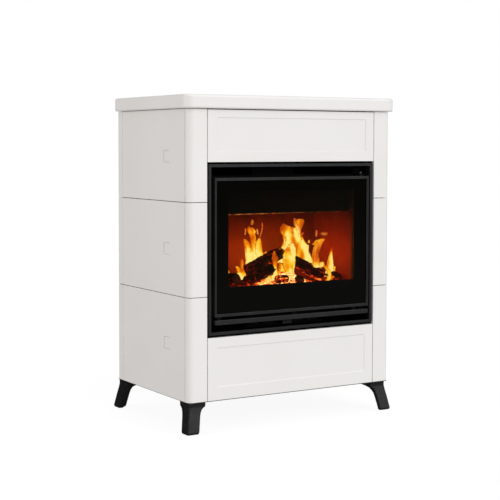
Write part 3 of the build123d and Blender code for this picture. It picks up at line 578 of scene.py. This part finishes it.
LOGS = (
    # name, from, to, radius, seed, heat, taper, bend, flat
    ("log_upper_left", (-0.0965, -0.1125, 0.5025), (0.0720, -0.0845, 0.5615), 0.0235, 1, 0.75, 0.02, 0.05, 0.18),
    ("log_lower_left", (-0.1343, -0.190, 0.4794), (-0.0080, -0.150, 0.5116), 0.0208, 2, 0.70, 0.0, 0.06, 0.12),
    ("log_right", (0.1090, -0.099, 0.5305), (0.2005, -0.156, 0.4740), 0.0232, 3, 0.60, -0.02, 0.08, 0.12),
    ("log_round_left", (-0.183, -0.204, 0.490), (-0.205, -0.080, 0.480), 0.0212, 4, 0.30, 0.0, 0.05, 0.0),
    ("log_rear_right", (0.236, -0.124, 0.484), (0.257, -0.176, 0.4705), 0.0150, 5, 0.45, 0.0, 0.1, 0.1),
    ("log_coal_left", (-0.020, -0.198, 0.481), (0.024, -0.199, 0.481), 0.0146, 6, 2.4, 0.1, 0.1, 0.1),
    ("log_coal_right", (0.0717, -0.204, 0.4755), (0.095, -0.164, 0.470), 0.0155, 7, 0.25, 0.0, 0.05, 0.0),
    ("log_support_left", (-0.170, -0.100, 0.462), (-0.030, -0.078, 0.462), 0.0190, 8, 0.5, 0.0, 0.1, 0.1),
    ("log_support_middle", (0.046, -0.122, 0.468), (0.058, -0.099, 0.522), 0.0124, 9, 0.6, 0.1, 0.1, 0.2),
)
for name, p0, p1, r, seed, heat, taper, bend, flat in LOGS:
    build_log(name, p0, p1, r, seed, heat, taper, bend, flat)
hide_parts("logs")


# ------------------------------------------------------------------ ember bed
def bed_height(x, y):
    heap = 0.047 * math.exp(-((x - 0.035) / 0.095) ** 2) * math.exp(-((y + 0.142) / 0.050) ** 2)
    edge = smoothstep(0.250, 0.215, abs(x)) * smoothstep(-0.2135, -0.200, y) * smoothstep(-0.010, -0.035, y)
    return 0.4305 + edge * (0.013 + heap + 0.004 * n3(x, y, 0, 22) + 0.0025 * n3(x, y, 3, 70))


def build_bed():
    verts, faces, heat = [], [], []
    nx, ny = 150, 60
    x0, x1, y0, y1 = -0.248, 0.252, -0.2135, -0.012
    for j in range(ny + 1):
        for i in range(nx + 1):
            x, y = x0 + (x1 - x0) * i / nx, y0 + (y1 - y0) * j / ny
            verts.append((x, y, bed_height(x, y)))
            heat.append(0.62 * math.exp(-((x - 0.03) / 0.17) ** 2) + 0.1)
    for j in range(ny):
        for i in range(nx):
            k = j * (nx + 1) + i
            faces.append((k, k + 1, k + nx + 2, k + nx + 1))
    # closed underneath
    rim = [i for i in range(nx + 1)] + [j * (nx + 1) + nx for j in range(1, ny + 1)] + \
          [ny * (nx + 1) + i for i in range(nx - 1, -1, -1)] + [j * (nx + 1) for j in range(ny - 1, 0, -1)]
    base = len(verts)
    for k in rim:
        x, y, _ = verts[k]
        verts.append((x, y, 0.4302))
        heat.append(0.0)
    m = len(rim)
    for i in range(m):
        faces.append((rim[i], base + i, base + (i + 1) % m, rim[(i + 1) % m]))
    faces.append(tuple(base + i for i in range(m - 1, -1, -1)))
    ob = new_object("ember_ash_bed", verts, faces, EMBER, floats={"glowing": heat})
    fix_normals(ob)
    return ob


def coal_template():
    bm = bmesh.new()
    bmesh.ops.create_icosphere(bm, subdivisions=2, radius=1.0)
    v = [x.co.copy() for x in bm.verts]
    f = [tuple(y.index for y in x.verts) for x in bm.faces]
    bm.free()
    return v, f


def build_coals():
    tv, tf = coal_template()
    verts, faces, heat = [], [], []
    n = 620
    for k in range(n):
        if k < 400:
            x = min(max(rng.gauss(0.035, 0.085), -0.235), 0.24)
            y = min(max(rng.gauss(-0.170, 0.022), -0.206), -0.05)
        else:
            x = rng.uniform(-0.235, 0.24)
            y = rng.uniform(-0.205, -0.03)
        r = rng.uniform(0.0035, 0.0085)
        z = bed_height(x, y) + r * rng.uniform(0.1, 0.55)
        sx, sy, sz = rng.uniform(0.8, 1.5), rng.uniform(0.8, 1.3), rng.uniform(0.6, 1.0)
        rot = Matrix.Rotation(rng.uniform(0, 6.28), 3, "Z") @ Matrix.Rotation(rng.uniform(-0.6, 0.6), 3, "X")
        off = rng.uniform(0, 90)
        base = len(verts)
        core = 0.95 * math.exp(-((x - 0.03) / 0.12) ** 2) * math.exp(-((y + 0.165) / 0.06) ** 2)
        h = min(1.0, core * rng.uniform(0.45, 1.15) + 0.08)
        for v in tv:
            m = 1 + 0.42 * noise.noise(v * 1.3 + Vector((off, 0, 0))) + 0.14 * noise.noise(v * 3.7 + Vector((0, off, 0)))
            p = rot @ Vector((v.x * sx * m, v.y * sy * m, v.z * sz * m)) * r
            verts.append((x + p.x, y + p.y, max(z + p.z, 0.4305)))
            heat.append(max(0.0, h + 0.18 * (-v.z)))
        for f in tf:
            faces.append(tuple(base + i for i in f))
    return new_object("ember_coals", verts, faces, EMBER, floats={"glowing": heat}, smooth=False)


bed = build_bed()
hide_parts("ember_bed")
coals = build_coals()


# ------------------------------------------------------------------ flames
# Each tongue: name, depth y, coolness, rows of (z, left x, right x) from root to tip, in millimetres
TONGUES = (
    ("left_a", -62, 0.0, ((516, -63, -33), (534, -59, -35), (553, -58, -39), (571, -61, -36), (590, -64, -41), (603, -68, -52), (611, -70, -61), (616, -70, -67))),
    ("left_b", -58, 0.0, ((515, -47, 0), (533, -45, -4), (551, -40, -10), (570, -38, -14), (588, -38, -17), (607, -37, -19), (622, -39, -21), (637, -46, -23), (649, -50, -27), (657, -48, -39), (660, -46, -43))),
    ("left_c", -66, 0.0, ((517, -30, 27), (532, -26, 24), (548, -22, 15), (562, -24, 9), (576, -27, 3), (591, -24, 0), (603, -19, -2), (611, -12, -3), (617, -8, -5))),
    ("left_d", -70, 0.0, ((544, 0, 25), (555, 7, 22), (563, 13, 20), (571, 18, 20))),
    ("mid_a", -70, 0.0, ((534, 68, 139), (553, 73, 141), (565, 79, 146), (577, 87, 150), (589, 93, 152), (602, 95, 154), (614, 92, 152), (627, 86, 148), (636, 82, 141), (645, 81, 131), (652, 84, 120), (658, 86, 97), (663, 88, 92), (667, 89, 91))),
    ("mid_b", -74, 0.0, ((519, 125, 215), (535, 127, 205), (551, 129, 194), (566, 134, 189), (582, 139, 185), (597, 142, 178), (610, 144, 171), (622, 146, 165), (635, 147, 162), (647, 148, 166), (660, 145, 173), (669, 143, 174), (676, 145, 171), (680, 154, 163))),
    ("mid_c", -78, 0.0, ((531, 170, 201), (550, 174, 193), (562, 179, 190), (575, 182, 193), (582, 187, 194), (587, 191, 193))),
    ("mid_d", -72, 0.3, ((616, 159, 169), (622, 165, 174), (627, 169, 177), (632, 173, 176))),
    ("mid_e", -90, 0.45, ((649, 129, 140), (660, 123, 135), (669, 121, 131), (680, 122, 129), (689, 124, 128))),
    ("low_a", -126, -0.4, ((485, 46, 100), (497, 51, 95), (508, 54, 97), (517, 56, 100), (526, 57, 102), (539, 58, 103), (551, 59, 104), (562, 61, 103), (572, 64, 102), (582, 70, 100), (592, 77, 98), (601, 84, 96), (608, 90, 94))),
    ("low_c", -132, 0.0, ((487, 29, 65), (496, 32, 61), (505, 32, 56), (514, 32, 50), (524, 32, 45), (531, 33, 39), (536, 34, 36))),
    ("mid_f", -96, 0.1, ((543, 70, 96), (551, 60, 88), (559, 55, 81), (569, 52, 78), (575, 54, 75), (577, 59, 70))),
    ("front_a", -168, 0.0, ((469, -23, 6), (481, -23, 8), (493, -18, 9), (502, -14, 6), (511, -11, 3), (523, -11, 1), (535, -14, 3), (547, -16, 4), (556, -17, 3), (565, -16, -2), (574, -13, -7), (579, -11, -9))),
    ("front_b", -168, 0.25, ((476, -44, -16), (482, -40, -18), (489, -37, -24), (496, -35, -27), (499, -32, -29))),
    ("small_a", -118, 0.0, ((494, -122, -97), (501, -127, -100), (509, -125, -106), (518, -132, -113), (523, -135, -123), (527, -136, -132))),
    ("small_b", -116, 0.1, ((493, -121, -95), (506, -118, -102), (515, -116, -105), (526, -114, -105), (538, -114, -104), (546, -113, -105), (551, -111, -108))),
    ("edge_a", -170, 0.25, ((479, -194, -177), (488, -196, -180), (498, -197, -184), (508, -198, -189), (517, -197, -193), (521, -196, -195))),
    ("right_a", -92, 0.3, ((506, 191, 233), (518, 197, 229), (534, 199, 226), (550, 201, 227), (562, 204, 231), (574, 210, 237), (583, 213, 241), (591, 215, 244), (599, 216, 250), (603, 232, 255), (606, 250, 258))),
    ("right_b", -88, 0.1, ((510, 228, 258), (518, 239, 254), (523, 244, 251))),
    ("far_a", -150, 0.05, ((489, 221, 253), (502, 224, 250), (515, 226, 250), (527, 228, 249), (540, 232, 248), (553, 236, 247), (565, 240, 246), (575, 243, 246), (581, 245, 246))),
    ("far_b", -152, 0.1, ((487, 243, 258), (497, 246, 258), (506, 251, 259), (514, 256, 259))),
    ("rlog_a", -150, 0.0, ((508, 170, 187), (512, 164, 188), (519, 161, 182), (524, 163, 174), (527, 164, 167))),
    ("rlog_b", -168, 0.0, ((457, 203, 216), (466, 209, 225), (475, 216, 232), (487, 217, 228), (496, 210, 224), (506, 203, 216), (513, 197, 206), (516, 195, 199))),
    ("rlog_c", -166, 0.2, ((465, 225, 235), (472, 230, 244), (478, 240, 251), (481, 248, 252))),
    ("wisp_a", -60, 0.75, ((629, -64, -58), (638, -63, -57), (647, -62, -56), (655, -60, -58))),
    ("wisp_b", -60, 0.75, ((628, -13, -7), (637, -15, -9), (644, -16, -11), (650, -15, -13))),
    ("wisp_c", -64, 0.85, ((627, -2, 2), (636, 1, 5), (646, 3, 9), (658, 4, 10), (667, 3, 8), (676, 4, 6))),
    ("wisp_d", -75, 0.85, ((664, -47, -38), (670, -48, -36), (678, -46, -37), (685, -44, -40))),
    ("wisp_e", -80, 0.8, ((615, 224, 229), (623, 223, 230), (633, 224, 231), (641, 227, 229))),
    ("wisp_f", -80, 0.3, ((595, 191, 195), (599, 191, 197), (603, 193, 194))),
    ("wisp_g", -80, 0.95, ((616, 252, 271), (620, 246, 276), (624, 248, 279), (626, 263, 276))),
)


def spline(rows, n):
    """Catmull-Rom through the rows, resampled to n rows."""
    pts = [Vector(r) for r in rows]
    ext = [pts[0] * 2 - pts[1]] + pts + [pts[-1] * 2 - pts[-2]]
    out = []
    for i in range(n):
        s = i / (n - 1) * (len(pts) - 1)
        k = min(int(s), len(pts) - 2)
        f = s - k
        p0, p1, p2, p3 = ext[k], ext[k + 1], ext[k + 2], ext[k + 3]
        out.append(0.5 * ((2 * p1) + (p2 - p0) * f + (2 * p0 - 5 * p1 + 4 * p2 - p3) * f * f + (3 * p1 - 3 * p2 + p0 - p3) * f ** 3))
    return out


def build_flames():
    verts, faces, uvs, cool = [], [], [], []
    nu = 15
    for k, (name, y0, c, rows) in enumerate(TONGUES):
        height = abs(rows[-1][0] - rows[0][0])
        nt = max(10, int(height / 4))
        rr = spline(rows, nt)
        zs = [r[0] for r in rr]
        span = zs[-1] - zs[0]
        side = {}
        for back in (0, 1):
            ids = []
            for i, (z, xl, xr) in enumerate(rr):
                t = i / (nt - 1)
                row = []
                half = max(abs(xr - xl) / 2, 0.4)
                mid = (xl + xr) / 2
                grow = 1.30                                       # the soft edge lies outside the drawn outline
                sway = 2.2 * noise.noise(Vector((k * 5.1, z * 0.030, 0.3)))
                for j in range(nu):
                    u = -1 + 2 * j / (nu - 1)
                    if back and (j == 0 or j == nu - 1):
                        row.append(side[0][i][j])
                        continue
                    bulge = 0.42 * half * math.sqrt(max(0.0, 1 - u * u)) + 0.25
                    yy = y0 + sway + (bulge if back else -bulge)
                    verts.append(((mid + u * half * grow) / 1000, yy / 1000, z / 1000))
                    uvs.append((0.5 + 0.5 * u * grow, t))
                    cool.append(c)
                    row.append(len(verts) - 1)
                ids.append(row)
            side[back] = ids
            for i in range(nt - 1):
                for j in range(nu - 1):
                    q = (ids[i][j], ids[i][j + 1], ids[i + 1][j + 1], ids[i + 1][j])
                    faces.append(q if not back else q[::-1])
        for row, flip in ((0, False), (nt - 1, True)):            # closed at the root and the tip
            for j in range(nu - 1):
                f, b = side[0][row], side[1][row]
                q = (f[j], b[j], b[j + 1], f[j + 1])
                q = tuple(dict.fromkeys(q))
                if len(q) > 2:
                    faces.append(q[::-1] if flip else q)
    return new_object("flames", verts, faces, FLAME, floats={"cool": cool}, uvs=uvs)


flames = build_flames()
flames.visible_shadow = False


# ------------------------------------------------------------------ door: printed border and rope seal
def rounded_rect(x0, x1, z0, z1, r, n=8):
    pts = []
    for cx, cz, a0 in ((x1 - r, z1 - r, 0), (x0 + r, z1 - r, 90), (x0 + r, z0 + r, 180), (x1 - r, z0 + r, 270)):
        for i in range(n + 1):
            t = math.radians(a0 + 90 * i / n)
            pts.append((cx + r * math.cos(t), cz + r * math.sin(t)))
    return pts


def ring_plate(name, outer, inner, y0, y1, material, body):
    """Flat ring between two closed outlines with the same number of points, from y0 to y1."""
    n = len(outer)
    verts = [(x, y, z) for y in (y0, y1) for loop in (outer, inner) for x, z in loop]
    faces = []
    for i in range(n):
        j = (i + 1) % n
        faces.append((i, j, n + j, n + i))
        faces.append((2 * n + j, 2 * n + i, 3 * n + i, 3 * n + j))
        faces.append((i, 2 * n + i, 2 * n + j, j))
        faces.append((n + j, 3 * n + j, 3 * n + i, n + i))
    ob = new_object(name, verts, faces, material, body=body, smooth=False)
    fix_normals(ob)
    return ob


g_lo, g_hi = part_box("door_glass")
WIN_X, WIN_Z0, WIN_Z1 = 0.2545, 0.4745, 0.787
outer = rounded_rect(g_lo.x + 0.0003, g_hi.x - 0.0003, g_lo.z + 0.0003, g_hi.z - 0.0003, 0.0008)
inner = rounded_rect(-WIN_X, WIN_X, WIN_Z0, WIN_Z1, 0.003)
glass_border = ring_plate("glass_black_border", outer, inner, g_hi.y - 0.00035, g_hi.y - 0.00005, PRINT, "door")


def build_rope():
    """Braided seal round the rear of the door: four strands that cross over and under."""
    lo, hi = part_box("door_rope")
    depth = hi.y - lo.y
    w = 0.0050                                            # half width across
    cx0, cx1, cz0, cz1 = lo.x + w, hi.x - w, lo.z + w, hi.z - w
    r = 0.012
    path = []
    segs = [((cx0 + r, cz0), (cx1 - r, cz0), (cx1 - r, cz0 + r), -90), ((cx1, cz0 + r), (cx1, cz1 - r), (cx1 - r, cz1 - r), 0),
            ((cx1 - r, cz1), (cx0 + r, cz1), (cx0 + r, cz1 - r), 90), ((cx0, cz1 - r), (cx0, cz0 + r), (cx0 + r, cz0 + r), 180)]
    step = 0.0016
    for (ax, az), (bx, bz), (ox, oz), a0 in segs:
        n = int(math.hypot(bx - ax, bz - az) / step)
        for i in range(n):
            f = i / n
            dx, dz = (bx - ax), (bz - az)
            ln = math.hypot(dx, dz)
            path.append((ax + dx * f, az + dz * f, dz / ln, -dx / ln))
        m = int(r * math.pi / 2 / step)
        for i in range(m):
            t = math.radians(a0 + 90 * i / m)
            path.append((ox + r * math.cos(t), oz + r * math.sin(t), math.cos(t), math.sin(t)))
    yc, hy = (lo.y + hi.y) / 2, depth / 2
    na = 28
    verts, faces = [], []
    total = len(path)
    turns = 170
    for i, (x, z, nx, nz) in enumerate(path):
        s = 2 * math.pi * turns * i / total
        for j in range(na):
            th = 2 * math.pi * j / na
            weave = math.cos(4 * th + s) * math.cos(4 * th - s)
            rad = 0.93 + 0.07 * weave
            c, sn = math.cos(th), math.sin(th)
            k = (abs(c) ** 3 + abs(sn) ** 3) ** (-1 / 3)   # a squarish section, pressed in its channel
            out = w * rad * k * c
            yy = yc + hy * rad * k * sn
            verts.append((x + nx * out, yy, z + nz * out))
    for i in range(total):
        k = (i + 1) % total
        for j in range(na):
            m = (j + 1) % na
            faces.append((i * na + j, i * na + m, k * na + m, k * na + j))
    ob = new_object("door_rope_braid", verts, faces, ROPE, body="door")
    fix_normals(ob)
    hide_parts("door_rope")
    return ob


rope = build_rope()


# ------------------------------------------------------------------ stage, light and camera
def disc(name, radius, z, material):
    n = 96
    verts = [(0.0, 0.0, z)] + [(radius * math.cos(2 * math.pi * i / n), radius * math.sin(2 * math.pi * i / n), z) for i in range(n)]
    faces = [(0, 1 + i, 1 + (i + 1) % n) for i in range(n)]
    ob = new_object(name, verts, faces, material, body=None, smooth=False)
    return ob


def make_floor():
    a = Mat("studio_floor")
    tone = a.mix(a.remap(a.noise(1.6, 3, 0.5), 0.35, 0.65, 0, 1), (0.105, 0.105, 0.105), (0.115, 0.115, 0.115))
    dif = a.principled(Base_Color=tone, Roughness=0.9, Specular_IOR_Level=0.1)
    em = a.node("Emission", {"Color": (1, 1, 1), "Strength": FLOOR_SELF}).outputs[0]
    return a.surface(a.node("AddShader", {0: dif, 1: em}).outputs[0])


FLOOR_SELF = 0.92
floor = disc("studio_floor", 6.0, -0.0006, make_floor())
floor.visible_glossy = False
floor.visible_diffuse = False

world = bpy.data.worlds.new("studio")
bpy.context.scene.world = world
world.use_nodes = True
wt = world.node_tree
wt.nodes.clear()
wo = wt.nodes.new("ShaderNodeOutputWorld")
lp = wt.nodes.new("ShaderNodeLightPath")


def bg(colour, strength):
    n = wt.nodes.new("ShaderNodeBackground")
    n.inputs["Color"].default_value = (*colour, 1)
    n.inputs["Strength"].default_value = strength
    return n.outputs[0]


def wmix(fac, a, b):
    n = wt.nodes.new("ShaderNodeMixShader")
    wt.links.new(fac, n.inputs[0])
    wt.links.new(a, n.inputs[1])
    wt.links.new(b, n.inputs[2])
    return n.outputs[0]


WORLD_FILL, WORLD_GLOSS = 0.66, 0.030
soft = bg((1.0, 0.992, 0.984), WORLD_FILL)
gloss = bg((1.0, 1.0, 1.0), WORLD_GLOSS)
seen = bg((1.0, 1.0, 1.0), 1.0)
w1 = wmix(lp.outputs["Is Glossy Ray"], soft, gloss)
w2 = wmix(lp.outputs["Is Camera Ray"], w1, seen)
wt.links.new(w2, wo.inputs["Surface"])


def sun(name, direction, strength, angle, colour=(1, 1, 1)):
    d = bpy.data.lights.new(name, "SUN")
    d.energy, d.angle, d.color = strength, math.radians(angle), colour
    o = bpy.data.objects.new(name, d)
    o.rotation_mode = "QUATERNION"
    o.rotation_quaternion = (-Vector(direction)).to_track_quat("-Z", "Y")
    bpy.context.scene.collection.objects.link(o)
    return o


def area(name, loc, target, size, power, colour=(1, 1, 1)):
    d = bpy.data.lights.new(name, "AREA")
    d.shape, d.size, d.energy, d.color = "SQUARE", size, power, colour
    o = bpy.data.objects.new(name, d)
    o.location = loc
    o.rotation_mode = "QUATERNION"
    o.rotation_quaternion = (Vector(target) - Vector(loc)).to_track_quat("-Z", "Y")
    bpy.context.scene.collection.objects.link(o)
    return o


def bulb(name, loc, power, radius, colour):
    d = bpy.data.lights.new(name, "POINT")
    d.energy, d.shadow_soft_size, d.color = power, radius, colour
    o = bpy.data.objects.new(name, d)
    o.location = loc
    o.visible_glossy = False
    bpy.context.scene.collection.objects.link(o)
    return o


sun("key", (0.42, -0.80, 0.42), 1.25, 42, (0.985, 1.0, 1.015))
area("top_box", (0.0, -0.4, 3.4), (0, 0, 0.6), 3.0, 9)
area("left_box", (-3.6, -0.2, 1.8), (0, 0, 0.6), 2.4, 24, (1.0, 0.93, 0.895))

FIRE = (1.0, 0.118, 0.001)
bulb("fire_left", (-0.010, -0.075, 0.560), 1.75, 0.030, FIRE)
bulb("fire_left_rear", (-0.040, -0.058, 0.560), 1.45, 0.030, FIRE)
bulb("fire_mid", (0.112, -0.070, 0.575), 3.60, 0.035, FIRE)
bulb("fire_right", (0.182, -0.182, 0.552), 0.66, 0.025, FIRE)
bulb("fire_far", (0.222, -0.115, 0.545), 0.20, 0.015, FIRE)
bulb("fire_front", (0.020, -0.175, 0.530), 0.14, 0.020, (1.0, 0.34, 0.06))

cam_data = bpy.data.cameras.new("camera")
cam = bpy.data.objects.new("camera", cam_data)
bpy.context.scene.collection.objects.link(cam)
psi, th, rho = math.radians(31.43818887), math.radians(-2.93448255), math.radians(0.09052991)
F = Vector((math.sin(psi) * math.cos(th), math.cos(psi) * math.cos(th), math.sin(th)))
R = Vector((math.cos(psi), -math.sin(psi), 0.0))
U = R.cross(F)
R2 = math.cos(rho) * R + math.sin(rho) * U
U2 = -math.sin(rho) * R + math.cos(rho) * U
rot = Matrix((R2, U2, -F)).transposed()
cam.matrix_world = Matrix.Translation((-2.36987, -3.86752, 0.94208)) @ rot.to_4x4()
cam_data.sensor_width = 36.0
cam_data.lens = 91.803
cam_data.shift_y = -0.08
cam_data.clip_end = 60.0
bpy.context.scene.camera = cam

bpy.context.scene.view_settings.view_transform = "Standard"
